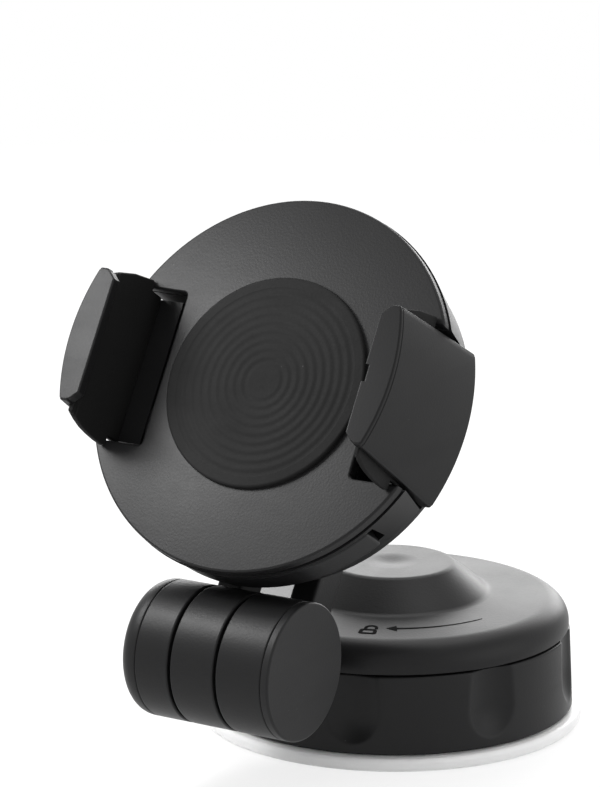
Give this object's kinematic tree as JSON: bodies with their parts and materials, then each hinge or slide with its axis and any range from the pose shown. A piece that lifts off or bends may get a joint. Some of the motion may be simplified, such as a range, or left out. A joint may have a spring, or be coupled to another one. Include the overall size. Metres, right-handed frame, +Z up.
{
  "type": "suction cup phone holder",
  "caption": "Round suction base with a twist ring, a folding arm and a round cradle that grips a slim device between two sliding clamps.",
  "frame": {"origin": "middle of the suction face, the underside of the gel pad", "axes": "+Z up from the table; the cradle and the device face -Y; +X to the right of someone behind the holder looking along +Y"},
  "size_m": [0.073, 0.1057, 0.1037],
  "materials": {
    "black_plastic": "fine matte",
    "black_rubber": "matte",
    "steel": "plain",
    "pale_plastic": "smooth",
    "clear_gel": "clear and soft"
  },
  "bodies": {
    "base": {"gel_pad": "clear_gel", "cup_disc": "black_rubber", "pressure_frame": "black_plastic", "base_cover": "black_plastic", "base_screws": "steel", "stud_spring": "steel"},
    "ring": {"lock_ring": "black_plastic", "cam_sleeve": "black_plastic"},
    "stud": {"lift_stud": "steel", "cross_pin": "steel"},
    "folding_arm": {"arm": "black_plastic", "hinge_bolt": "steel", "hinge_nut": "steel", "friction_washers": "steel", "left_hinge_cap": "black_plastic", "right_hinge_cap": "black_plastic", "swivel_ring": "steel", "swivel_cap": "black_plastic"},
    "cradle": {"back_shell": "black_plastic", "front_plate": "black_plastic", "face_pad": "black_rubber", "swivel_washer": "steel", "swivel_screw": "steel", "cradle_screws": "steel", "pawl_pin": "steel", "pinion_spring": "steel", "pawl_spring": "steel"},
    "right_side": {"right_clamp": "black_plastic", "right_jaw": "black_plastic", "right_grip_pad": "black_rubber"},
    "left_side": {"left_clamp": "black_plastic", "left_jaw": "black_plastic", "left_grip_pad": "black_rubber"},
    "gear": {"pinion": "pale_plastic"},
    "key": {"release_key": "black_plastic"},
    "catch": {"pawl": "pale_plastic"}
  },
  "joints": [
    {"name": "ring_turn", "type": "hinge", "parent": "base", "child": "ring", "pos_m": [0, 0, 0.0108], "axis": [0, 0, -1], "range_deg": [0, 75]},
    {"name": "stud_lift", "type": "slide", "parent": "base", "child": "stud", "axis": [0, 0, 1], "range_m": [0, 0.0025], "deforming": ["stud_spring"]},
    {"name": "arm_fold", "type": "hinge", "parent": "base", "child": "folding_arm", "pos_m": [0, -0.0567, 0.0256], "axis": [1, 0, 0], "range_deg": [-24, 100]},
    {"name": "cradle_turn", "type": "hinge", "parent": "folding_arm", "child": "cradle", "pos_m": [0, -0.0323, 0.06624], "axis": [0, -0.8508, 0.5255], "range_deg": [-180, 180]},
    {"name": "right_slide", "type": "slide", "parent": "cradle", "child": "right_side", "axis": [1, 0, 0], "range_m": [-0.0023, 0.0117]},
    {"name": "left_slide", "type": "slide", "parent": "cradle", "child": "left_side", "axis": [-1, 0, 0], "range_m": [-0.0023, 0.0117]},
    {"name": "pinion_spin", "type": "hinge", "parent": "cradle", "child": "gear", "pos_m": [0, -0.0397, 0.07082], "axis": [0, -0.8508, 0.5255], "range_deg": [-112.5, 22.5]},
    {"name": "key_press", "type": "slide", "parent": "cradle", "child": "key", "axis": [0, 0.5255, 0.8508], "range_m": [0, 0.001], "stiffness_N_per_m": 400, "springref_m": -0.001},
    {"name": "pawl_swing", "type": "hinge", "parent": "cradle", "child": "catch", "pos_m": [-0.002, -0.0479, 0.05754], "axis": [0, -0.8508, 0.5255], "range_deg": [0, 11.6]}
  ],
  "couplings": [
    {"joint": "ring_turn", "follows": "stud_lift", "rad_per_m": 523.6},
    {"joint": "left_slide", "follows": "right_slide", "ratio": 1},
    {"joint": "pinion_spin", "follows": "right_slide", "rad_per_m": -166.67},
    {"joint": "pawl_swing", "follows": "key_press", "rad_per_m": 200}
  ]
}
